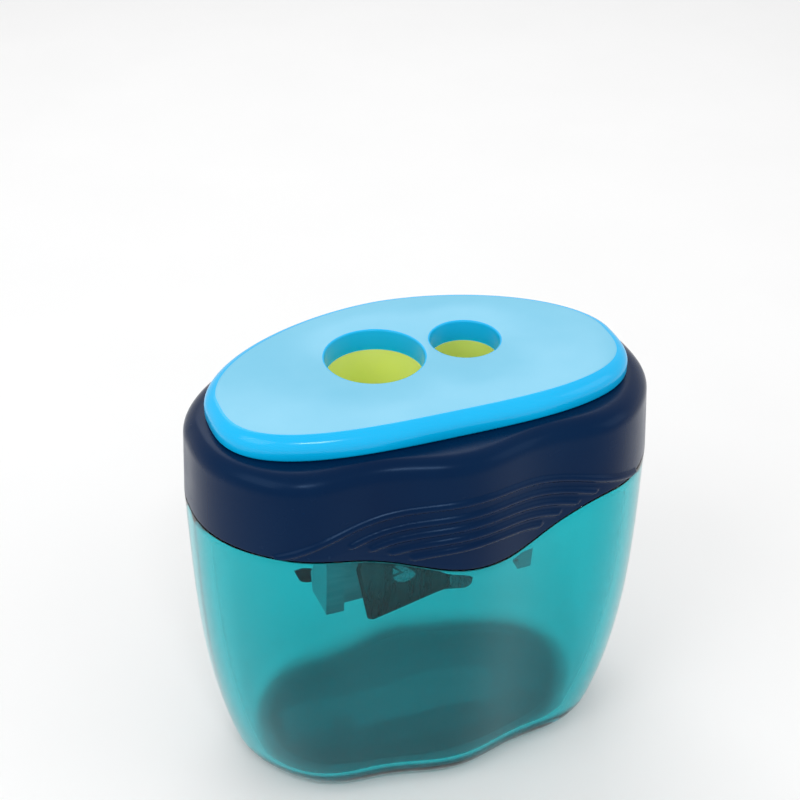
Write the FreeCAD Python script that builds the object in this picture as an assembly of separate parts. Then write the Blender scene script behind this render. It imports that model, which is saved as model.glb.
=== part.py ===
"""Two-hole canister pencil sharpener: a clear tank, a lift-off lid and the sharpener block under it.

Millimetres. +Z is up, X runs along the long side and -Y is the front. The origin is the middle of the
underside of the tank, so the tank stands on Z = 0.
"""
import FreeCAD, Part
import math
import os
from collections import namedtuple

# Plan outline of the body: an oblong, squarer in front than behind, with a gentle wave along its long
# sides. Behind, a smaller wave goes with a larger depth, so that front and back reach equally far.
Outline = namedtuple("Outline", "half_width half_depth power wave back_wave wave_length")
BASE_HALF_WIDTH = 26.6
BASE_HALF_DEPTH = 16.85
BASE_POWER = 2.28
BASE_WAVE = 0.60
BASE_BACK_WAVE = 0.60
BASE_WAVE_LENGTH = 18.4
SHOULDER_HALF_WIDTH = 31.05
SHOULDER_HALF_DEPTH = 18.55
SHOULDER_POWER = 2.72
SHOULDER_WAVE = 0.92
SHOULDER_BACK_WAVE = 0.30
SHOULDER_WAVE_LENGTH = 22.1
BACK_POWER = 1.93
RIM_DRAFT = 0.75
BASE_OUTLINE = Outline(BASE_HALF_WIDTH, BASE_HALF_DEPTH, BASE_POWER, BASE_WAVE, BASE_BACK_WAVE,
                       BASE_WAVE_LENGTH)
SHOULDER_OUTLINE = Outline(SHOULDER_HALF_WIDTH, SHOULDER_HALF_DEPTH, SHOULDER_POWER, SHOULDER_WAVE,
                           SHOULDER_BACK_WAVE, SHOULDER_WAVE_LENGTH)
RIM_OUTLINE = SHOULDER_OUTLINE._replace(half_width=SHOULDER_HALF_WIDTH - RIM_DRAFT,
                                        half_depth=SHOULDER_HALF_DEPTH - RIM_DRAFT)
OUTLINE_POINTS = 64
ROUNDING_STEPS = 4
ROW_SPACING = 6.0

# Heights of the stack
SHOULDER_HEIGHT = 44.95
COLLAR_SIDE_HEIGHT = 10.9
PLATE_THICKNESS = 3.0
DECK_TOP = SHOULDER_HEIGHT + COLLAR_SIDE_HEIGHT
PLATE_TOP = DECK_TOP + PLATE_THICKNESS

# Tank
TANK_WALL = 2.2
TANK_FLOOR = 1.6
BASE_RADIUS = 4.2
BELLY_POWER = 3.4
NECK_RISE = 7.15

# Fit of the lid on the tank
LID_CLEARANCE = 0.3
SEAT_GAP = 0.3

# Collar
SKIRT_WALL = 1.0
DECK_THICKNESS = 2.0
RIM_RADIUS = 2.2
TONGUE_DROP = 5.6
TONGUE_X = 5.0
TONGUE_LEFT_FLANK = 30.0
TONGUE_RIGHT_FLANK = 16.0

# Raised grip ridges on the front and back of the collar
RIDGE_HEIGHT = 0.35
RIDGE_WIDTH = 0.9
RIDGE_COUNT = 4
RIDGE_X = 1.5
RIDGE_PITCH = 1.53
RIDGE_HALF_LENGTH = 16.0
RIDGE_SHORTENING = 2.5
RIDGE_DROP = 2.3
RIDGE_FLATTENING = 0.45
ARCH_X = 0.6
ARCH_RISE = 5.0
ARCH_HALF_LENGTH = 24.0
ARCH_DROP = 4.9
ARCH_TO_RIDGE = 1.9

# Top plate: a D in plan, with a flatter front than back
PLATE_HALF_WIDTH = 27.6
PLATE_FRONT_DEPTH = 13.8
PLATE_BACK_DEPTH = 17.4
PLATE_FRONT_POWER = 3.1
PLATE_BACK_POWER = 1.82
PLATE_EDGE_RADIUS = 1.75
HOLE_EDGE_RADIUS = 0.25

# Pencil holes
LARGE_HOLE_RADIUS = 6.45
SMALL_HOLE_RADIUS = 4.58
LARGE_GUIDE_RADIUS = 5.1
SMALL_GUIDE_RADIUS = 4.2
LARGE_HOLE_X = -4.7
SMALL_HOLE_X = 7.75
HOLE_Y = 2.9

# Funnel insert
FUNNEL_LIP = 0.12
FLANGE_MARGIN = 2.0
FLANGE_THICKNESS = 1.0
FLANGE_CLEARANCE = 0.1
TUBE_WALL = 0.7
FUNNEL_CONE_DEPTH = 6.5
FUNNEL_LENGTH = 9.6

# Sharpener block
BLOCK_HEIGHT = 25.7
BLOCK_HALF_LENGTH = 15.4
PILLAR_WIDTH = 2.3
BLADE_RECESS = 1.6
HEAD_HEIGHT = 6.0
CONE_LENGTH = 24.5
CONE_SLOPE = 0.2
CONE_TIP_RADIUS = 0.4
WEB_MARGIN = 1.2
WEB_SHARE = 0.6
SLOT_WIDTH = 4.0
SLOT_TO_AXIS = 0.6

# Blades and their screws
BLADE_WIDTH = 15.0
BLADE_LENGTH = 17.5
BLADE_THICKNESS = 0.8
BLADE_CORNER = 1.0
BLADE_BEVEL = 0.5
BLADE_CENTRE_DROP = 20.7
EDGE_LEAD = 1.0
EDGE_SHARE = 0.9
SCREW_HEAD_RADIUS = 2.3
SCREW_HEAD_HEIGHT = 0.7
SCREW_SHANK_RADIUS = 1.1
SCREW_LENGTH = 2.2
SCREW_SLOT_WIDTH = 0.5
SCREW_SLOT_DEPTH = 0.35
SCREW_CLEARANCE = 0.05

# Holder that carries the block under the deck
HOLDER_WALL = 1.5
HOLDER_CLEARANCE = 0.05
HOLDER_TO_TUBE = 0.3
HOLDER_DROP = 28.2
HOLDER_TAPER_HEIGHT = 6.5
HOLDER_TAPER = 1.6
HOLDER_LEG_WIDTH = 5.0
HOLDER_RIGHT_REACH = 7.0
HOLDER_CORNER = 1.2
CHEEK_DROP = 7.0

BIG = 120.0
EPS = 0.5

# Heights and places that follow from the sizes above
BLOCK_TOP = DECK_TOP - FUNNEL_LENGTH
BLOCK_BOTTOM = BLOCK_TOP - BLOCK_HEIGHT
RECESS_TOP = BLOCK_TOP - HEAD_HEIGHT
CONE_APEX = BLOCK_TOP - CONE_LENGTH
BLADE_CENTRE_HEIGHT = BLOCK_TOP - BLADE_CENTRE_DROP
HOLDER_BOTTOM = BLOCK_TOP - HOLDER_DROP
CHEEK_BOTTOM = BLOCK_TOP - CHEEK_DROP
MID_X = (LARGE_HOLE_X + SMALL_HOLE_X) / 2
WEB_SLOPE = WEB_SHARE * CONE_SLOPE
EDGE_SLOPE = EDGE_SHARE * CONE_SLOPE


def vector(x, y, z):
    return FreeCAD.Vector(x, y, z)


def mix(first, second, share):
    return Outline(*(a + (b - a) * share for a, b in zip(first, second)))


def outline_at(z):
    """Body outline at a height: the belly swells from the base to the shoulder, the collar draws in."""
    if z <= SHOULDER_HEIGHT:
        share = 1 - (1 - z / SHOULDER_HEIGHT) ** BELLY_POWER
        return mix(BASE_OUTLINE, SHOULDER_OUTLINE, share)
    share = (z - SHOULDER_HEIGHT) / COLLAR_SIDE_HEIGHT
    return mix(SHOULDER_OUTLINE, RIM_OUTLINE, share)


def closed_curve(points):
    """Smooth closed curve through points that are evenly spread in its parameter."""
    count = len(points)
    curve = Part.BSplineCurve()
    steps = [i / count for i in range(count + 1)]
    curve.interpolate(Points=points, PeriodicFlag=True, Parameters=steps)
    return curve


def solid_through(rows):
    """Solid with flat ends whose side passes smoothly through closed rows of points, lowest first."""
    rings = [closed_curve(row) for row in rows]
    steps = [0.0]
    for lower, upper in zip(rows, rows[1:]):
        steps.append(steps[-1] + (upper[0] - lower[0]).Length)
    columns = []
    for poles in zip(*(ring.getPoles() for ring in rings)):
        column = Part.BSplineCurve()
        column.interpolate(Points=list(poles), Parameters=steps)
        columns.append(column)
    ring, column = rings[0], columns[0]
    skin = Part.BSplineSurface()
    skin.buildFromPolesMultsKnots([rise.getPoles() for rise in columns],
                                  ring.getMultiplicities(), column.getMultiplicities(),
                                  ring.getKnots(), column.getKnots(), True, False, ring.Degree, column.Degree)
    ends = [Part.Face(Part.Wire([rings[i].toShape()])) for i in (0, -1)]
    shell = Part.makeShell([skin.toShape()] + ends)
    shell.sewShape()
    return Part.makeSolid(shell)


def superellipse_point(turn, half_width, half_depth, power):
    """Point of a rounded oblong in the direction of an ellipse's point at the same turn."""
    direction = math.atan2(half_depth * math.sin(turn), half_width * math.cos(turn))
    across = abs(math.cos(direction)) / half_width
    along = abs(math.sin(direction)) / half_depth
    reach = (across ** power + along ** power) ** (-1 / power)
    return reach * math.cos(direction), reach * math.sin(direction)


def body_row(z, inset):
    """Points of the body's outline at height z, drawn in by inset."""
    shape = outline_at(z)
    points = []
    for i in range(OUTLINE_POINTS):
        turn = 2 * math.pi * i / OUTLINE_POINTS
        front = math.sin(turn) < 0
        power = shape.power if front else BACK_POWER
        wave = shape.wave if front else shape.back_wave
        depth = shape.half_depth + shape.wave - wave
        x, y = superellipse_point(turn, shape.half_width - inset, depth - inset, power)
        swell = wave / depth * math.cos(2 * math.pi * x / shape.wave_length)
        points.append(vector(x, y * (1 + swell), z))
    return points


def body_solid(bottom, top, inset, foot_radius=0.0, rim_radius=0.0):
    """Solid inside the body's surface, with a rounded foot or rim where asked."""
    turns = [math.pi / 2 * i / ROUNDING_STEPS for i in range(ROUNDING_STEPS)]
    rows = []
    for turn in turns if foot_radius else []:
        z = bottom + foot_radius * (1 - math.cos(turn))
        rows.append(body_row(z, inset + foot_radius * (1 - math.sin(turn))))
    low = bottom + foot_radius
    high = top - rim_radius
    spans = max(2, round((high - low) / ROW_SPACING))
    for i in range(spans + 1):
        rows.append(body_row(low + (high - low) * i / spans, inset))
    for turn in reversed(turns if rim_radius else []):
        z = high + rim_radius * math.cos(turn)
        rows.append(body_row(z, inset + rim_radius * (1 - math.sin(turn))))
    return solid_through(rows)


def prism_along_y(edges, low=-BIG, high=BIG):
    """Prism between two Y values, from a closed loop of edges drawn in the plane Y = 0."""
    face = Part.Face(Part.Wire(edges))
    face.translate(vector(0, low, 0))
    return face.extrude(vector(0, high - low, 0))


def polyline_xz(points):
    corners = [vector(x, 0, z) for x, z in points]
    return Part.makePolygon(corners + corners[:1]).Edges


def seam_height(x):
    """Height of the collar's lower edge: level round the sides, with a tongue front and back."""
    flank = TONGUE_LEFT_FLANK if x < TONGUE_X else TONGUE_RIGHT_FLANK
    share = min(1.0, abs(x - TONGUE_X) / flank)
    return SHOULDER_HEIGHT - TONGUE_DROP / 2 * (1 + math.cos(math.pi * share))


def side_of_seam(level, drop):
    """Everything between the seam, lowered by drop, and a level above or below it."""
    steps = 24
    left_end = TONGUE_X - TONGUE_LEFT_FLANK
    width = TONGUE_LEFT_FLANK + TONGUE_RIGHT_FLANK
    xs = [left_end + width * i / steps for i in range(steps + 1)]
    points = [vector(x, 0, seam_height(x) - drop) for x in xs]
    flat = vector(1, 0, 0)
    curve = Part.BSplineCurve()
    curve.interpolate(Points=points, InitialTangent=flat, FinalTangent=flat)
    left = vector(-BIG, 0, points[0].z)
    right = vector(BIG, 0, points[-1].z)
    corners = [points[-1], right, vector(BIG, 0, level), vector(-BIG, 0, level), left, points[0]]
    edges = [curve.toShape()] + [Part.makeLine(a, b) for a, b in zip(corners, corners[1:])]
    return prism_along_y(edges)


def arc_band(centre, half_length, middle, drop):
    """Prism through the collar along an arched ridge, from its middle height and the drop at its ends."""
    def arc(offset):
        return [vector(centre - half_length, 0, middle - drop + offset), vector(centre, 0, middle + offset),
                vector(centre + half_length, 0, middle - drop + offset)]
    upper = arc(RIDGE_WIDTH / 2)
    lower = arc(-RIDGE_WIDTH / 2)
    edges = [Part.Arc(*upper).toShape(), Part.makeLine(upper[2], lower[2]),
             Part.Arc(*lower).toShape(), Part.makeLine(lower[0], upper[0])]
    return prism_along_y(edges)


def cylinder(x, y, bottom, top, radius):
    return Part.makeCylinder(radius, top - bottom, vector(x, y, bottom))


def two_hole_pad(bottom, top, large_radius, small_radius):
    """Pad round both pencil holes: two discs and the bar that joins them."""
    large = cylinder(LARGE_HOLE_X, HOLE_Y, bottom, top, large_radius)
    small = cylinder(SMALL_HOLE_X, HOLE_Y, bottom, top, small_radius)
    bar = Part.makeBox(SMALL_HOLE_X - LARGE_HOLE_X, 2 * small_radius, top - bottom,
                       vector(LARGE_HOLE_X, HOLE_Y - small_radius, bottom))
    return large.fuse([small, bar]).removeSplitter()


def shavings_tank():
    shell = body_solid(0, SHOULDER_HEIGHT + EPS, 0, foot_radius=BASE_RADIUS)
    shell = shell.cut(side_of_seam(BIG, SEAT_GAP))
    seam_low = SHOULDER_HEIGHT - TONGUE_DROP - 2 * EPS
    neck = body_solid(seam_low, SHOULDER_HEIGHT + NECK_RISE, SKIRT_WALL + LID_CLEARANCE)
    room = body_solid(TANK_FLOOR, SHOULDER_HEIGHT + NECK_RISE + EPS, TANK_WALL,
                     foot_radius=BASE_RADIUS - TANK_WALL)
    return shell.fuse(neck).cut(room)


def ridges():
    """Arched ridges that stand proud of the collar's wavy wall, front and back."""
    low = SHOULDER_HEIGHT - TONGUE_DROP
    skin = body_solid(low - EPS, DECK_TOP - RIM_RADIUS, -RIDGE_HEIGHT)
    core = body_solid(low - 2 * EPS, DECK_TOP - RIM_RADIUS + EPS, SKIRT_WALL / 2)
    arch_middle = SHOULDER_HEIGHT + ARCH_RISE
    bands = [arc_band(ARCH_X, ARCH_HALF_LENGTH, arch_middle, ARCH_DROP)]
    for i in range(RIDGE_COUNT):
        middle = arch_middle - ARCH_TO_RIDGE - i * RIDGE_PITCH
        half_length = RIDGE_HALF_LENGTH - i * RIDGE_SHORTENING
        bands.append(arc_band(RIDGE_X, half_length, middle, RIDGE_DROP - i * RIDGE_FLATTENING))
    return [skin.common(band).cut(core) for band in bands]


def lid_collar():
    low = SHOULDER_HEIGHT - TONGUE_DROP - EPS
    collar = body_solid(low, DECK_TOP, 0, rim_radius=RIM_RADIUS)
    collar = collar.fuse(ridges())
    collar = collar.cut(side_of_seam(-BIG, 0))
    collar = collar.cut(body_solid(low - EPS, DECK_TOP - DECK_THICKNESS, SKIRT_WALL))
    pocket = two_hole_pad(DECK_TOP - FLANGE_THICKNESS, DECK_TOP + EPS, LARGE_HOLE_RADIUS + FLANGE_MARGIN,
                          SMALL_HOLE_RADIUS + FLANGE_MARGIN)
    opening = two_hole_pad(DECK_TOP - DECK_THICKNESS - EPS, DECK_TOP,
                           LARGE_HOLE_RADIUS + TUBE_WALL + FLANGE_CLEARANCE,
                           SMALL_HOLE_RADIUS + TUBE_WALL + FLANGE_CLEARANCE)
    return collar.cut([pocket, opening])


def plate_outline(z):
    points = []
    for i in range(OUTLINE_POINTS):
        turn = 2 * math.pi * i / OUTLINE_POINTS
        front = math.sin(turn) < 0
        depth = PLATE_FRONT_DEPTH if front else PLATE_BACK_DEPTH
        power = PLATE_FRONT_POWER if front else PLATE_BACK_POWER
        x, y = superellipse_point(turn, PLATE_HALF_WIDTH, depth, power)
        points.append(vector(x, y, z))
    return Part.Wire([closed_curve(points).toShape()])


def top_plate():
    plate = Part.Face(plate_outline(DECK_TOP)).extrude(vector(0, 0, PLATE_THICKNESS))
    rim = [edge for edge in plate.Edges if edge.BoundBox.ZMin > PLATE_TOP - EPS]
    plate = plate.makeFillet(PLATE_EDGE_RADIUS, rim)
    for x, radius in ((LARGE_HOLE_X, LARGE_HOLE_RADIUS), (SMALL_HOLE_X, SMALL_HOLE_RADIUS)):
        plate = plate.cut(cylinder(x, HOLE_Y, DECK_TOP - EPS, PLATE_TOP + EPS, radius))
    mouths = [edge for edge in plate.Edges
              if isinstance(edge.Curve, Part.Circle) and edge.BoundBox.ZMin > PLATE_TOP - EPS]
    return plate.makeFillet(HOLE_EDGE_RADIUS, mouths)


def funnel_bore(x, mouth, throat):
    """Cone from the mouth down to the throat, then straight to the block."""
    cone_bottom = DECK_TOP - FUNNEL_CONE_DEPTH
    cone = Part.makeCone(throat, mouth, FUNNEL_CONE_DEPTH, vector(x, HOLE_Y, cone_bottom))
    return cone.fuse(cylinder(x, HOLE_Y, BLOCK_TOP - EPS, cone_bottom + EPS / 10, throat))


def funnel_insert():
    top = DECK_TOP
    pad = two_hole_pad(top - FLANGE_THICKNESS, top, LARGE_HOLE_RADIUS + FLANGE_MARGIN - FLANGE_CLEARANCE,
                       SMALL_HOLE_RADIUS + FLANGE_MARGIN - FLANGE_CLEARANCE)
    tubes = [cylinder(LARGE_HOLE_X, HOLE_Y, BLOCK_TOP, top, LARGE_HOLE_RADIUS + TUBE_WALL),
             cylinder(SMALL_HOLE_X, HOLE_Y, BLOCK_TOP, top, SMALL_HOLE_RADIUS + TUBE_WALL)]
    insert = pad.fuse(tubes).removeSplitter()
    large = funnel_bore(LARGE_HOLE_X, LARGE_HOLE_RADIUS - FUNNEL_LIP, LARGE_GUIDE_RADIUS)
    small = funnel_bore(SMALL_HOLE_X, SMALL_HOLE_RADIUS - FUNNEL_LIP, SMALL_GUIDE_RADIUS)
    return insert.cut([large, small])


def half_thickness(z):
    """Half the thickness of the block's web, which narrows with the pencil's cone."""
    return WEB_MARGIN + WEB_SLOPE * (z - CONE_APEX)


def wedge(low, high, proud, left, right):
    """Wedge between two heights, proud of the web on both faces, from left to right about the middle."""
    thin = half_thickness(low) + proud
    thick = half_thickness(high) + proud
    corners = [vector(0, -thin, low), vector(0, thin, low), vector(0, thick, high), vector(0, -thick, high)]
    face = Part.Face(Part.makePolygon(corners + corners[:1]))
    face.translate(vector(MID_X + left, HOLE_Y, 0))
    return face.extrude(vector(right - left, 0, 0))


def half_turn(shape):
    """Copy of a shape turned half a turn about the upright line midway between the two holes."""
    turned = shape.copy()
    turned.rotate(vector(MID_X, HOLE_Y, 0), vector(0, 0, 1), 180)
    return turned


def cutting_edge_x(z):
    """Where the front blade's cutting edge lies, on the near side of the small hole's cone."""
    return SMALL_HOLE_X - EDGE_LEAD - EDGE_SLOPE * (z - CONE_APEX)


def chip_slot():
    """Slot beside the front blade's edge, through which shavings leave the small hole's cone."""
    low = BLOCK_BOTTOM - EPS
    corners = [(cutting_edge_x(low), low), (cutting_edge_x(low) + SLOT_WIDTH, low),
               (cutting_edge_x(RECESS_TOP) + SLOT_WIDTH, RECESS_TOP),
               (cutting_edge_x(RECESS_TOP), RECESS_TOP)]
    return prism_along_y(polyline_xz(corners), HOLE_Y - BIG, HOLE_Y - SLOT_TO_AXIS)


def on_front_face(shape):
    """Place a shape built with its base on Z = 0 and +Z outward onto the block's front blade seat."""
    lean = math.degrees(math.atan(WEB_SLOPE))
    skew = math.degrees(math.atan(EDGE_SLOPE))
    placed = shape.copy()
    placed.rotate(vector(0, 0, 0), vector(0, 0, 1), skew)
    placed.rotate(vector(0, 0, 0), vector(1, 0, 0), 90 + lean)
    edge_to_centre = BLADE_WIDTH / 2 / math.cos(math.radians(skew))
    centre_x = cutting_edge_x(BLADE_CENTRE_HEIGHT) - edge_to_centre
    seat_y = HOLE_Y - half_thickness(BLADE_CENTRE_HEIGHT)
    placed.translate(vector(centre_x, seat_y, BLADE_CENTRE_HEIGHT))
    return placed


def pencil_cone(x, radius):
    """Space that a pencil's end takes: a cone to its point, no wider than the pencil."""
    length = BLOCK_TOP + EPS - CONE_APEX
    cone = Part.makeCone(CONE_TIP_RADIUS, CONE_TIP_RADIUS + CONE_SLOPE * length, length,
                         vector(x, HOLE_Y, CONE_APEX))
    return cone.common(cylinder(x, HOLE_Y, CONE_APEX - EPS, BLOCK_TOP + 2 * EPS, radius))


def screw_hole():
    depth = SCREW_LENGTH + SCREW_CLEARANCE
    return on_front_face(Part.makeCylinder(SCREW_SHANK_RADIUS + SCREW_CLEARANCE, depth + EPS,
                                           vector(0, 0, -depth)))


def sharpener_block():
    reach = BLOCK_HALF_LENGTH
    inner = reach - PILLAR_WIDTH
    web = wedge(BLOCK_BOTTOM, BLOCK_TOP, 0, -reach, reach)
    head = wedge(RECESS_TOP, BLOCK_TOP, BLADE_RECESS, -reach, reach)
    pillars = [wedge(BLOCK_BOTTOM, BLOCK_TOP, BLADE_RECESS, -reach, -inner),
               wedge(BLOCK_BOTTOM, BLOCK_TOP, BLADE_RECESS, inner, reach)]
    block = web.fuse([head] + pillars).removeSplitter()
    slot = chip_slot()
    hole = screw_hole()
    block = block.cut([slot, half_turn(slot), hole, half_turn(hole)])
    pencils = [pencil_cone(LARGE_HOLE_X, LARGE_GUIDE_RADIUS), pencil_cone(SMALL_HOLE_X, SMALL_GUIDE_RADIUS)]
    return block.cut(pencils)


def front_blade():
    """Flat blade with rounded corners, ground edges and one screw hole."""
    plate = Part.makeBox(BLADE_WIDTH, BLADE_LENGTH, BLADE_THICKNESS,
                         vector(-BLADE_WIDTH / 2, -BLADE_LENGTH / 2, 0))
    corners = [edge for edge in plate.Edges if edge.BoundBox.ZLength > BLADE_THICKNESS / 2]
    plate = plate.makeFillet(BLADE_CORNER, corners)
    ground = [edge for edge in plate.Edges
              if edge.BoundBox.ZMin > BLADE_THICKNESS / 2 and edge.BoundBox.YLength > BLADE_LENGTH / 2]
    plate = plate.makeChamfer(BLADE_BEVEL, ground)
    hole = Part.makeCylinder(SCREW_SHANK_RADIUS + SCREW_CLEARANCE, 2 * BLADE_THICKNESS, vector(0, 0, -EPS))
    return on_front_face(plate.cut(hole))


def front_screw():
    shank = Part.makeCylinder(SCREW_SHANK_RADIUS, SCREW_LENGTH + BLADE_THICKNESS, vector(0, 0, -SCREW_LENGTH))
    head = Part.makeCylinder(SCREW_HEAD_RADIUS, SCREW_HEAD_HEIGHT, vector(0, 0, BLADE_THICKNESS))
    top = BLADE_THICKNESS + SCREW_HEAD_HEIGHT
    slot = Part.makeBox(3 * SCREW_HEAD_RADIUS, SCREW_SLOT_WIDTH, SCREW_SLOT_DEPTH + EPS,
                        vector(-1.5 * SCREW_HEAD_RADIUS, -SCREW_SLOT_WIDTH / 2, top - SCREW_SLOT_DEPTH))
    return on_front_face(shank.fuse(head).removeSplitter().cut(slot))


def block_holder():
    """Dark cradle under the deck: a back wall with a leg at its left and a cheek at the block's left end."""
    top = DECK_TOP - DECK_THICKNESS
    back = HOLE_Y + LARGE_HOLE_RADIUS + TUBE_WALL + HOLDER_TO_TUBE
    outer = BLOCK_HALF_LENGTH + HOLDER_CLEARANCE + HOLDER_WALL
    front = HOLE_Y - half_thickness(CHEEK_BOTTOM)
    tip = outer - HOLDER_TAPER
    shoulder = HOLDER_BOTTOM + HOLDER_TAPER_HEIGHT
    inside = HOLDER_LEG_WIDTH - outer
    corners = [(-tip, HOLDER_BOTTOM), (inside, HOLDER_BOTTOM), (inside, CHEEK_BOTTOM),
               (HOLDER_RIGHT_REACH, CHEEK_BOTTOM), (HOLDER_RIGHT_REACH, top),
               (-outer, top), (-outer, shoulder)]
    wall = prism_along_y(polyline_xz([(MID_X + x, z) for x, z in corners]), back, back + HOLDER_WALL)
    tips = [edge for edge in wall.Edges
            if edge.BoundBox.YLength > HOLDER_WALL / 2 and edge.BoundBox.ZMax < HOLDER_BOTTOM + EPS]
    wall = wall.makeFillet(HOLDER_CORNER, tips)
    cheek = Part.makeBox(HOLDER_WALL, back + HOLDER_WALL - front, top - CHEEK_BOTTOM,
                         vector(MID_X - outer, front, CHEEK_BOTTOM))
    return wall.fuse(cheek).removeSplitter()


def main():
    blade = front_blade()
    screw = front_screw()
    pieces = {
        "shavings_tank": shavings_tank(),
        "lid_collar": lid_collar(),
        "top_plate": top_plate(),
        "funnel_insert": funnel_insert(),
        "block_holder": block_holder(),
        "sharpener_block": sharpener_block(),
        "small_hole_blade": blade,
        "large_hole_blade": half_turn(blade),
        "small_blade_screw": screw,
        "large_blade_screw": half_turn(screw),
    }
    os.makedirs("parts", exist_ok=True)
    for name, shape in pieces.items():
        box = shape.BoundBox
        print(f"{name}: solids {len(shape.Solids)}, valid {shape.isValid()}, volume {shape.Volume:.1f}, "
              f"x {box.XMin:.2f} to {box.XMax:.2f}, y {box.YMin:.2f} to {box.YMax:.2f}, "
              f"z {box.ZMin:.2f} to {box.ZMax:.2f}")
        shape.exportStep(f"parts/{name}.step")


main()
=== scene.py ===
"""Looks of the canister pencil sharpener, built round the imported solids, in the part's own frame.

Shapes are written in millimetres and scaled to metres. Lamps and the camera are placed in metres.
"""
import math

import bmesh
import bpy
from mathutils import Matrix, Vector


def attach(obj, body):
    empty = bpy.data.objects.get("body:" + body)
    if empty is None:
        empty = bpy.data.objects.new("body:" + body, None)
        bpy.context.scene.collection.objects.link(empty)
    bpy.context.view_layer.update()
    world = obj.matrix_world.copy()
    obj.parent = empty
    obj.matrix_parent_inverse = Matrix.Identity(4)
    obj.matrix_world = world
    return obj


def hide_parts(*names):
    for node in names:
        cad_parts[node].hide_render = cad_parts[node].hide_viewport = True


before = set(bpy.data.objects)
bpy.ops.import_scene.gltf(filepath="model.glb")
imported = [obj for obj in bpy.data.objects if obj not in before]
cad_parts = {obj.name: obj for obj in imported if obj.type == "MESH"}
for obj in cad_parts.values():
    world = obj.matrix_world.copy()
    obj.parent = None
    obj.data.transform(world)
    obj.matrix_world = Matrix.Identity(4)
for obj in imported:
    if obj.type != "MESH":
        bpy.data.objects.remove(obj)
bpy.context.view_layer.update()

MM = 0.001

# Plan outline of the body: half width, half depth, power, wave, wave of the back and wave length
BASE_OUTLINE = (26.6, 16.85, 2.28, 0.60, 0.60, 18.4)
SHOULDER_OUTLINE = (31.05, 18.55, 2.72, 0.92, 0.30, 22.1)
RIM_OUTLINE = (30.3, 17.8, 2.72, 0.92, 0.30, 22.1)
BACK_POWER = 1.93
SHOULDER_HEIGHT = 44.95
DECK_TOP = 55.85
PLATE_TOP = 58.85
TANK_WALL = 2.2
TANK_FLOOR = 1.6
FLOOR_CORNER_RADIUS = 2.7
GROOVE_WIDTH = 0.7
GROOVE_DEPTH = 0.17
TANK_BEVEL = 0.18
BASE_RADIUS = 4.2
BELLY_POWER = 3.4
NECK_TOP = 52.1
SKIRT_WALL = 1.0
COLLAR_BEVEL = 0.16
LID_CLEARANCE = 0.3
SEAT_GAP = 0.12
DECK_THICKNESS = 2.0
RIM_RADIUS = 2.2
TONGUE_DROP = 5.6
TONGUE_X = 5.0
TONGUE_LEFT_FLANK = 30.0
TONGUE_RIGHT_FLANK = 16.0

# Grip ridges under one long arch: centre, half length, middle height and drop at the ends of each
ARCH = (0.6, 24.0, 49.95, 4.9)
RIDGE_COUNT = 4
RIDGE_X = 1.5
RIDGE_HALF_LENGTH = 16.0
RIDGE_SHORTENING = 2.5
RIDGE_TOP = 48.05
RIDGE_PITCH = 1.53
RIDGE_DROP = 2.3
RIDGE_FLATTENING = 0.45
RIDGES = [(RIDGE_X, RIDGE_HALF_LENGTH - RIDGE_SHORTENING * i, RIDGE_TOP - RIDGE_PITCH * i,
           RIDGE_DROP - RIDGE_FLATTENING * i) for i in range(RIDGE_COUNT)]
RIDGE_HEIGHT = 0.33
RIDGE_HALF_WIDTH = 0.52
RIDGE_FULLNESS = 0.7

# Top plate and pencil holes
PLATE_HALF_WIDTH = 27.6
PLATE_FRONT_DEPTH = 13.8
PLATE_BACK_DEPTH = 17.4
PLATE_FRONT_POWER = 3.1
PLATE_BACK_POWER = 1.82
PLATE_EDGE_RADIUS = 1.75
PLATE_FOOT_RADIUS = 0.35
HOLE_EDGE_RADIUS = 0.25
HOLES = ((-4.7, 6.45), (7.75, 4.58))
HOLE_Y = 2.9
HOLE_MIDDLE = (HOLES[0][0] + HOLES[1][0]) / 2
FLANGE_MARGIN = 2.0
OPENING_MARGIN = 0.8
FLANGE_THICKNESS = 1.0

# Points round each mesh and steps along its profile
AROUND_TANK = 288
AROUND_COLLAR = 700
AROUND_PLATE = 240
AROUND_HOLE = 96
WALL_STEPS = 36
NECK_STEPS = 6
RIDGE_STEPS = 100
COLLAR_STEPS = 8
SHARP_DEGREES = 32.0
COLLAR_SHARP_DEGREES = 80.0

# Materials
NOISE_RANGE = (0.3, 0.7)
COLOUR_DRIFT_SCALE = 60.0
UNEVEN_GLOSS_SCALE = 240.0
# Noise scale of the painted sheen on the plate's level top
MOULD_GRAIN_SCALE = 1800.0
PAINTED_SHEEN_SCALE = 90.0
TOOL_MARK_SCALE = 900.0
# Normal heights that count as level, where the plate's painted sheen goes
LEVEL_NORMAL_RANGE = (0.988, 0.9985)
MIX_FIRST_COLOUR = 6
MIX_SECOND_COLOUR = 7
MIX_RESULT_COLOUR = 2

# Stage
FLOOR_HALF_WIDTH = 0.6
FLOOR_Z = -0.0002
AMBIENT_STRENGTH = 0.7


def outline_at(z):
    """Outline values of the body at a height, in millimetres."""
    if z <= SHOULDER_HEIGHT:
        first, second = BASE_OUTLINE, SHOULDER_OUTLINE
        share = 1 - (1 - max(z, 0.0) / SHOULDER_HEIGHT) ** BELLY_POWER
    else:
        first, second = SHOULDER_OUTLINE, RIM_OUTLINE
        share = (z - SHOULDER_HEIGHT) / (DECK_TOP - SHOULDER_HEIGHT)
    return [a + (b - a) * share for a, b in zip(first, second)]


def superellipse(turn, width, depth, power):
    direction = math.atan2(depth * math.sin(turn), width * math.cos(turn))
    across = abs(math.cos(direction)) / width
    along = abs(math.sin(direction)) / depth
    reach = (across ** power + along ** power) ** (-1 / power)
    return reach * math.cos(direction), reach * math.sin(direction)


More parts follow.
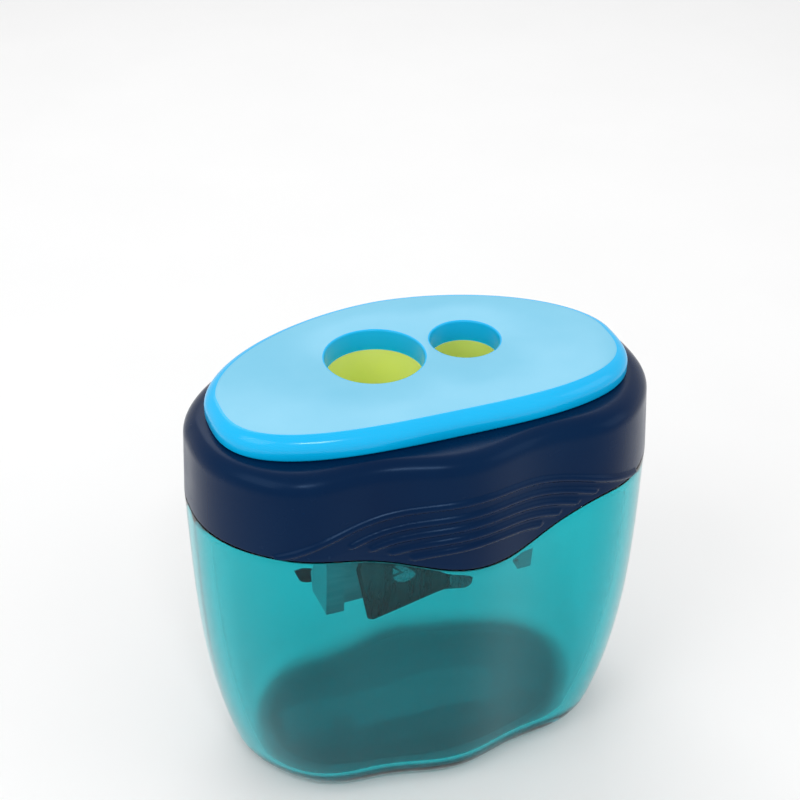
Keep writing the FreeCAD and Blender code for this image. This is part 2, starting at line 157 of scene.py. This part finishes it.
def body_point(turn, z, inset=0.0):
    """Point of the body's surface, drawn in by inset."""
    width, depth, power, wave, back_wave, length = outline_at(z)
    if math.sin(turn) >= 0:
        depth += wave - back_wave
        power, wave = BACK_POWER, back_wave
    x, y = superellipse(turn, width - inset, depth - inset, power)
    return Vector((x, y * (1 + wave / depth * math.cos(2 * math.pi * x / length)), z))


def seam_height(turn):
    """Height of the collar's lower edge in a direction round the body."""
    x = body_point(turn, SHOULDER_HEIGHT - TONGUE_DROP / 2).x
    flank = TONGUE_LEFT_FLANK if x < TONGUE_X else TONGUE_RIGHT_FLANK
    share = min(1.0, abs(x - TONGUE_X) / flank)
    return SHOULDER_HEIGHT - TONGUE_DROP / 2 * (1 + math.cos(math.pi * share))


def turns(count):
    return [2 * math.pi * i / count for i in range(count)]


def quarter(steps):
    return [math.pi / 2 * i / steps for i in range(steps + 1)]


def add_row(bm, points):
    return [bm.verts.new(Vector(p) * MM) for p in points]


def stitch(bm, lower, upper):
    """Quads between two closed rows of points."""
    count = len(lower)
    for i in range(count):
        j = (i + 1) % count
        bm.faces.new((lower[i], lower[j], upper[j], upper[i]))


def row_edges(bm, row):
    return [bm.edges.get((row[i], row[(i + 1) % len(row)])) for i in range(len(row))]


def finish_mesh(name, bm, sharp_degrees=SHARP_DEGREES):
    """Turn a bmesh into a smooth-shaded object with its real edges kept sharp."""
    bmesh.ops.recalc_face_normals(bm, faces=bm.faces)
    mesh = bpy.data.meshes.new(name)
    bm.to_mesh(mesh)
    bm.free()
    mesh.shade_smooth()
    mesh.set_sharp_from_angle(angle=math.radians(sharp_degrees))
    piece = bpy.data.objects.new(name, mesh)
    bpy.context.scene.collection.objects.link(piece)
    return piece


def tank_rows():
    """Closed rows from the underside up the outer wall, over the neck's rim and down to the inner floor."""
    rows = []
    ring = turns(AROUND_TANK)
    seams = [seam_height(turn) - SEAT_GAP for turn in ring]
    bevel = TANK_BEVEL
    for a in quarter(12)[:-1]:
        z = BASE_RADIUS * (1 - math.cos(a))
        rows.append([body_point(turn, z, BASE_RADIUS * (1 - math.sin(a))) for turn in ring])
    for k in range(WALL_STEPS + 1):
        share = k / WALL_STEPS
        rows.append([body_point(turn, BASE_RADIUS + (top - bevel - BASE_RADIUS) * share)
                     for turn, top in zip(ring, seams)])
    neck = SKIRT_WALL + LID_CLEARANCE
    for a in quarter(3)[1:]:
        rows.append([body_point(turn, top - bevel * (1 - math.sin(a)), bevel * (1 - math.cos(a)))
                     for turn, top in zip(ring, seams)])
    rows.append([body_point(turn, top, neck - bevel) for turn, top in zip(ring, seams)])
    rows.append([body_point(turn, top + bevel, neck) for turn, top in zip(ring, seams)])
    for k in range(1, NECK_STEPS + 1):
        rows.append([body_point(turn, top + bevel + (NECK_TOP - 2 * bevel - top) * k / NECK_STEPS, neck)
                     for turn, top in zip(ring, seams)])
    rows.append([body_point(turn, NECK_TOP, neck + bevel) for turn in ring])
    rows.append([body_point(turn, NECK_TOP, TANK_WALL - bevel) for turn in ring])
    corner = FLOOR_CORNER_RADIUS
    low = TANK_FLOOR + corner
    for k in range(WALL_STEPS + 1):
        z = NECK_TOP - bevel + (low - NECK_TOP + bevel) * k / WALL_STEPS
        rows.append([body_point(turn, z, TANK_WALL) for turn in ring])
    for a in reversed(quarter(8)[:-1]):
        z = TANK_FLOOR + corner * (1 - math.cos(a))
        rows.append([body_point(turn, z, TANK_WALL + corner * (1 - math.sin(a))) for turn in ring])
    for inward, deep in ((GROOVE_WIDTH / 2, GROOVE_DEPTH), (GROOVE_WIDTH, 0.0)):
        rows.append([body_point(turn, TANK_FLOOR - deep, TANK_WALL + corner + inward) for turn in ring])
    return rows


def build_tank():
    bm = bmesh.new()
    rows = [add_row(bm, row) for row in tank_rows()]
    for lower, upper in zip(rows, rows[1:]):
        stitch(bm, lower, upper)
    bm.faces.new(rows[0])
    bm.faces.new(rows[-1])
    return finish_mesh("clear_tank", bm)


def arch_lift(x, z, centre, half_length, middle, drop):
    """Height of one arched ridge at a point of the collar's side, as a rounded bead."""
    radius = (half_length ** 2 + drop ** 2) / (2 * drop)
    x -= centre
    if abs(x) <= half_length:
        away = abs(math.hypot(x, z - (middle - radius)) - radius)
    else:
        away = math.hypot(abs(x) - half_length, z - (middle - drop))
    if away >= RIDGE_HALF_WIDTH:
        return 0.0
    return RIDGE_HEIGHT * (1 - (away / RIDGE_HALF_WIDTH) ** 2) ** RIDGE_FULLNESS


def ridge_lift(x, z):
    return max(arch_lift(x, z, *arch) for arch in [ARCH] + RIDGES)


def pad_point(direction, margin, z):
    """Point of the pad round both holes, seen from its middle in a direction."""
    reach = (HOLES[1][0] - HOLES[0][0]) / 2
    bar = HOLES[1][1] + margin
    distance = min(reach / max(abs(direction.x), 1e-9), bar / max(abs(direction.y), 1e-9))
    for x, radius in HOLES:
        along = direction.x * (x - HOLE_MIDDLE)
        spread = along ** 2 - (x - HOLE_MIDDLE) ** 2 + (radius + margin) ** 2
        if spread > 0 and along - math.sqrt(spread) <= distance:
            distance = max(distance, along + math.sqrt(spread))
    return Vector((HOLE_MIDDLE + direction.x * distance, HOLE_Y + direction.y * distance, z))


def collar_rows():
    """Closed rows up the collar's side, over the deck, through the funnel's opening and down inside."""
    ring = turns(AROUND_COLLAR)
    seams = [seam_height(turn) for turn in ring]
    bevel = COLLAR_BEVEL
    side_top = DECK_TOP - RIM_RADIUS
    rows = []
    for a in quarter(3):
        rows.append([body_point(turn, low + bevel * (1 - math.cos(a)), bevel * (1 - math.sin(a)))
                     for turn, low in zip(ring, seams)])
    ridge_top = ARCH[2] + 2 * RIDGE_HALF_WIDTH
    for k in range(1, RIDGE_STEPS + 1):
        row = []
        for turn, low in zip(ring, seams):
            z = low + bevel + (ridge_top - low - bevel) * k / RIDGE_STEPS
            point = body_point(turn, z)
            row.append(body_point(turn, z, -ridge_lift(point.x, z)))
        rows.append(row)
    for k in range(1, COLLAR_STEPS + 1):
        z = ridge_top + (side_top - ridge_top) * k / COLLAR_STEPS
        rows.append([body_point(turn, z) for turn in ring])
    for a in quarter(10)[1:]:
        z = side_top + RIM_RADIUS * math.sin(a)
        rows.append([body_point(turn, z, RIM_RADIUS * (1 - math.cos(a))) for turn in ring])
    middle = Vector((HOLE_MIDDLE, HOLE_Y, 0))
    directions = [(Vector((p.x, p.y, 0)) - middle).normalized() for p in rows[-1]]
    shelf = DECK_TOP - FLANGE_THICKNESS
    under = DECK_TOP - DECK_THICKNESS
    for margin, z in ((FLANGE_MARGIN, DECK_TOP), (FLANGE_MARGIN, shelf),
                      (OPENING_MARGIN, shelf), (OPENING_MARGIN, under)):
        rows.append([pad_point(d, margin, z) for d in directions])
    rows.append([body_point(turn, under, SKIRT_WALL) for turn in ring])
    for k in range(1, COLLAR_STEPS + 1):
        rows.append([body_point(turn, under + (low + bevel - under) * k / COLLAR_STEPS, SKIRT_WALL)
                     for turn, low in zip(ring, seams)])
    rows.append([body_point(turn, low, SKIRT_WALL - bevel) for turn, low in zip(ring, seams)])
    return rows


def build_collar():
    bm = bmesh.new()
    rows = [add_row(bm, row) for row in collar_rows()]
    for lower, upper in zip(rows, rows[1:] + rows[:1]):
        stitch(bm, lower, upper)
    return finish_mesh("ridged_collar", bm, COLLAR_SHARP_DEGREES)


def plate_outline():
    """Outline of the raised plate with its inward normals."""
    points = []
    for turn in turns(AROUND_PLATE):
        front = math.sin(turn) < 0
        depth = PLATE_FRONT_DEPTH if front else PLATE_BACK_DEPTH
        power = PLATE_FRONT_POWER if front else PLATE_BACK_POWER
        points.append(Vector((*superellipse(turn, PLATE_HALF_WIDTH, depth, power), 0)))
    inward = []
    for i in range(AROUND_PLATE):
        along = points[(i + 1) % AROUND_PLATE] - points[i - 1]
        inward.append(Vector((-along.y, along.x, 0)).normalized())
    return points, inward


def hole_row(bm, x, radius, z):
    return add_row(bm, [(x + radius * math.cos(turn), HOLE_Y + radius * math.sin(turn), z)
                        for turn in turns(AROUND_HOLE)])


def build_plate():
    bm = bmesh.new()
    points, inward = plate_outline()
    profile = [(PLATE_FOOT_RADIUS * (1 - math.sin(a)), DECK_TOP + PLATE_FOOT_RADIUS * (1 - math.cos(a)))
               for a in quarter(4)]
    profile += [(PLATE_EDGE_RADIUS * (1 - math.cos(a)), PLATE_TOP - PLATE_EDGE_RADIUS * (1 - math.sin(a)))
                for a in quarter(12)]
    rows = []
    for inset, z in profile:
        rows.append(add_row(bm, [p + n * inset + Vector((0, 0, z)) for p, n in zip(points, inward)]))
    for lower, upper in zip(rows, rows[1:]):
        stitch(bm, lower, upper)
    tops, bottoms = row_edges(bm, rows[-1]), row_edges(bm, rows[0])
    for x, radius in HOLES:
        walls = [hole_row(bm, x, radius + HOLE_EDGE_RADIUS * (1 - math.sin(a)),
                          PLATE_TOP - HOLE_EDGE_RADIUS * (1 - math.cos(a))) for a in quarter(4)]
        walls.append(hole_row(bm, x, radius, DECK_TOP))
        for upper, lower in zip(walls, walls[1:]):
            stitch(bm, upper, lower)
        tops += row_edges(bm, walls[0])
        bottoms += row_edges(bm, walls[-1])
    bmesh.ops.triangle_fill(bm, use_beauty=True, edges=tops)
    bmesh.ops.triangle_fill(bm, use_beauty=True, edges=bottoms)
    return finish_mesh("blue_top_plate", bm)


def new_material(name):
    material = bpy.data.materials.new(name)
    material.use_nodes = True
    tree = material.node_tree
    return material, tree, tree.nodes["Principled BSDF"]


def noise(tree, scale, detail=3.0, stretch=None):
    """Noise in the part's own coordinates."""
    coords = tree.nodes.new("ShaderNodeTexCoord")
    texture = tree.nodes.new("ShaderNodeTexNoise")
    texture.inputs["Scale"].default_value = scale
    texture.inputs["Detail"].default_value = detail
    source = coords.outputs["Object"]
    if stretch:
        mapping = tree.nodes.new("ShaderNodeMapping")
        mapping.inputs["Scale"].default_value = stretch
        tree.links.new(source, mapping.inputs["Vector"])
        source = mapping.outputs["Vector"]
    tree.links.new(source, texture.inputs["Vector"])
    return texture.outputs["Fac"]


def spread(tree, factor, low, high):
    """Map the usual range of the noise onto a range of values."""
    ranged = tree.nodes.new("ShaderNodeMapRange")
    for socket, value in zip(("From Min", "From Max", "To Min", "To Max"), (*NOISE_RANGE, low, high)):
        ranged.inputs[socket].default_value = value
    tree.links.new(factor, ranged.inputs["Value"])
    return ranged.outputs["Result"]


def mix_colours(tree, factor, first, second):
    mixer = tree.nodes.new("ShaderNodeMix")
    mixer.data_type = "RGBA"
    tree.links.new(factor, mixer.inputs["Factor"])
    for index, colour in ((MIX_FIRST_COLOUR, first), (MIX_SECOND_COLOUR, second)):
        socket = mixer.inputs[index]
        if isinstance(colour, tuple):
            socket.default_value = (*colour, 1.0)
        else:
            tree.links.new(colour, socket)
    return mixer.outputs[MIX_RESULT_COLOUR]


def bump(tree, shader, height, strength, distance):
    node = tree.nodes.new("ShaderNodeBump")
    node.inputs["Strength"].default_value = strength
    node.inputs["Distance"].default_value = distance
    tree.links.new(height, node.inputs["Height"])
    tree.links.new(node.outputs["Normal"], shader.inputs["Normal"])


def moulded_plastic(name, dark, light, roughness, gloss):
    """Opaque moulded plastic: slight colour drift, uneven gloss and a fine moulded grain."""
    material, tree, shader = new_material(name)
    colour = mix_colours(tree, spread(tree, noise(tree, COLOUR_DRIFT_SCALE), 0.0, 1.0), dark, light)
    tree.links.new(colour, shader.inputs["Base Color"])
    uneven = spread(tree, noise(tree, UNEVEN_GLOSS_SCALE, 4.0), roughness * 0.85, roughness * 1.2)
    tree.links.new(uneven, shader.inputs["Roughness"])
    shader.inputs["IOR"].default_value = 1.5
    shader.inputs["Specular IOR Level"].default_value = gloss
    bump(tree, shader, noise(tree, MOULD_GRAIN_SCALE, 2.0), 0.35, 0.000012)
    return material, tree, shader


def plate_plastic():
    """Blue plastic whose level top gets a paler, noise-mottled base colour than its glossy rounded edge: a
    painted sheen.
    """
    dark, light = (0.0, 0.46, 0.87), (0.001, 0.50, 0.92)
    # Paler colours of the level top: painted sheen
    painted_sheen_dark, painted_sheen_light = (0.17, 0.557, 0.775), (0.206, 0.594, 0.81)
    material, tree, shader = moulded_plastic("blue_plastic", dark, light, 0.16, 0.3)
    geometry = tree.nodes.new("ShaderNodeNewGeometry")
    parts = tree.nodes.new("ShaderNodeSeparateXYZ")
    tree.links.new(geometry.outputs["True Normal"], parts.inputs["Vector"])
    level = tree.nodes.new("ShaderNodeMapRange")
    for socket, value in zip(("From Min", "From Max"), LEVEL_NORMAL_RANGE):
        level.inputs[socket].default_value = value
    tree.links.new(parts.outputs["Z"], level.inputs["Value"])
    side = shader.inputs["Base Color"].links[0].from_socket
    tone = spread(tree, noise(tree, PAINTED_SHEEN_SCALE), 0.0, 1.0)
    painted_sheen = mix_colours(tree, tone, painted_sheen_dark, painted_sheen_light)
    # Level faces take the painted sheen colours, and the rounded edge keeps the plain blue
    tree.links.new(mix_colours(tree, level.outputs["Result"], side, painted_sheen), shader.inputs["Base Color"])
    return material


def clear_plastic():
    """Clear tinted plastic: the tint deepens with thickness, so edges and the foot look darker."""
    material, tree, shader = new_material("clear_teal_plastic")
    shader.inputs["Base Color"].default_value = (0.62, 0.93, 0.95, 1.0)
    shader.inputs["Transmission Weight"].default_value = 1.0
    shader.inputs["IOR"].default_value = 1.49
    shader.inputs["Specular IOR Level"].default_value = 0.2
    shader.inputs["Specular Tint"].default_value = (0.35, 0.35, 0.35, 1.0)
    uneven = spread(tree, noise(tree, 150.0, 3.0), 0.0, 0.008)
    tree.links.new(uneven, shader.inputs["Roughness"])
    bump(tree, shader, noise(tree, 220.0, 1.0), 0.04, 0.00002)
    absorption = tree.nodes.new("ShaderNodeVolumeAbsorption")
    absorption.inputs["Color"].default_value = (0.03, 0.905, 0.918, 1.0)
    absorption.inputs["Density"].default_value = 1100.0
    tree.links.new(absorption.outputs["Volume"], tree.nodes["Material Output"].inputs["Volume"])
    return material


def lime_plastic():
    """Yellow-green plastic that lets a little light through."""
    dark, light = (0.84, 0.94, 0.16), (0.90, 0.97, 0.22)
    material, _, shader = moulded_plastic("lime_plastic", dark, light, 0.22, 0.4)
    shader.inputs["Subsurface Weight"].default_value = 0.25
    shader.inputs["Subsurface Radius"].default_value = (0.003, 0.003, 0.001)
    shader.inputs["Subsurface Scale"].default_value = 1.0
    return material


def navy_plastic():
    """Dark blue plastic with bluish reflections."""
    dark, light = (0.0, 0.009, 0.042), (0.0, 0.013, 0.052)
    material, _, shader = moulded_plastic("navy_plastic", dark, light, 0.24, 0.2)
    shader.inputs["Specular Tint"].default_value = (0.3, 0.5, 0.8, 1.0)
    return material


def worked_metal(name, dark, light, roughness, stretch):
    """Metal with fine tool marks along one direction."""
    material, tree, shader = new_material(name)
    marks = noise(tree, TOOL_MARK_SCALE, 4.0, stretch)
    colour = mix_colours(tree, spread(tree, marks, 0.0, 1.0), dark, light)
    tree.links.new(colour, shader.inputs["Base Color"])
    shader.inputs["Metallic"].default_value = 1.0
    tree.links.new(spread(tree, marks, roughness * 0.8, roughness * 1.25), shader.inputs["Roughness"])
    bump(tree, shader, marks, 0.25, 0.00002)
    return material


def dress(node, material):
    """Give a CAD node's object a better material."""
    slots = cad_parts[node].data.materials
    slots.clear()
    slots.append(material)


def replace_node(piece, node, body, material):
    piece.data.materials.append(material)
    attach(piece, body)
    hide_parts(node)


def build_object():
    slate = moulded_plastic("slate_plastic", (0.012, 0.026, 0.04), (0.02, 0.04, 0.055), 0.5, 0.3)[0]
    blade = worked_metal("ground_steel", (0.10, 0.11, 0.12), (0.16, 0.17, 0.18), 0.28, (1.0, 1.0, 0.08))
    screw = worked_metal("screw_steel", (0.42, 0.43, 0.44), (0.58, 0.58, 0.60), 0.25, (1.0, 1.0, 1.0))
    block = worked_metal("milled_alloy", (0.36, 0.38, 0.40), (0.50, 0.52, 0.54), 0.36, (0.1, 1.0, 1.0))
    replace_node(build_tank(), "shavings_tank", "tank", clear_plastic())
    replace_node(build_collar(), "lid_collar", "lid", navy_plastic())
    replace_node(build_plate(), "top_plate", "lid", plate_plastic())
    dress("funnel_insert", lime_plastic())
    dress("block_holder", slate)
    dress("sharpener_block", block)
    for name in ("small_hole_blade", "large_hole_blade"):
        dress(name, blade)
    for name in ("small_blade_screw", "large_blade_screw"):
        dress(name, screw)


def white_for_eyes(tree, surface_output, shader):
    """Show plain white to the camera, reflections and clear plastic, and the given shader to the rest."""
    path = tree.nodes.new("ShaderNodeLightPath")
    seen = path.outputs["Is Camera Ray"]
    for name in ("Is Glossy Ray", "Is Transmission Ray"):
        either = tree.nodes.new("ShaderNodeMath")
        either.operation = "MAXIMUM"
        tree.links.new(seen, either.inputs[0])
        tree.links.new(path.outputs[name], either.inputs[1])
        seen = either.outputs["Value"]
    white = tree.nodes.new("ShaderNodeBackground")
    white.inputs["Color"].default_value = (1.0, 1.0, 1.0, 1.0)
    white.inputs["Strength"].default_value = 1.0
    mixer = tree.nodes.new("ShaderNodeMixShader")
    tree.links.new(seen, mixer.inputs["Fac"])
    tree.links.new(shader, mixer.inputs[1])
    tree.links.new(white.outputs[0], mixer.inputs[2])
    tree.links.new(mixer.outputs["Shader"], surface_output)


def build_surroundings():
    """White surroundings that light the object plainly."""
    scene = bpy.context.scene
    scene.view_settings.view_transform = "Standard"
    world = bpy.data.worlds.new("studio")
    world.use_nodes = True
    scene.world = world
    tree = world.node_tree
    ambient = tree.nodes["Background"]
    ambient.inputs["Color"].default_value = (1.0, 1.0, 1.0, 1.0)
    ambient.inputs["Strength"].default_value = AMBIENT_STRENGTH
    white_for_eyes(tree, tree.nodes["World Output"].inputs["Surface"], ambient.outputs["Background"])


def build_floor():
    bm = bmesh.new()
    half = FLOOR_HALF_WIDTH
    bm.faces.new([bm.verts.new((x, y, FLOOR_Z)) for x, y in
                  ((-half, -half), (half, -half), (half, half), (-half, half))])
    floor = finish_mesh("studio_floor", bm)
    material, tree, shader = new_material("pale_floor")
    tone = spread(tree, noise(tree, 30.0), 0.0, 1.0)
    colour = mix_colours(tree, tone, (0.965, 0.965, 0.965), (0.98, 0.98, 0.98))
    tree.links.new(colour, shader.inputs["Base Color"])
    shader.inputs["Roughness"].default_value = 0.8
    floor.data.materials.append(material)


def add_lamp(name, place, target, size, watts):
    data = bpy.data.lights.new(name, "AREA")
    data.shape = "RECTANGLE"
    data.size, data.size_y = size
    data.energy = watts
    lamp = bpy.data.objects.new(name, data)
    lamp.location = place
    lamp.rotation_euler = (Vector(target) - Vector(place)).to_track_quat("-Z", "Y").to_euler()
    bpy.context.scene.collection.objects.link(lamp)


def add_camera():
    data = bpy.data.cameras.new("photo_camera")
    data.lens = 62.27
    data.sensor_width = 36.0
    data.clip_start = 0.01
    camera = bpy.data.objects.new("photo_camera", data)
    camera.location = (-0.053129, -0.139744, 0.151794)
    view = Vector((0.28502, 0.78350, -0.55220))
    camera.rotation_euler = view.to_track_quat("-Z", "Y").to_euler()
    bpy.context.scene.collection.objects.link(camera)
    bpy.context.scene.camera = camera


build_object()
build_surroundings()
build_floor()
add_lamp("key_left", (-0.30, -0.12, 0.34), (0, 0, 0.03), (0.25, 0.25), 0.34)
add_lamp("fill_right", (0.34, -0.20, 0.22), (0, 0, 0.03), (0.22, 0.22), 0.15)
add_lamp("back_top", (0.05, 0.30, 0.36), (0, 0, 0.04), (0.35, 0.20), 0.35)
add_lamp("front_top", (-0.07, -0.30, 0.40), (0, 0, 0.05), (0.12, 0.03), 0.36)
add_camera()
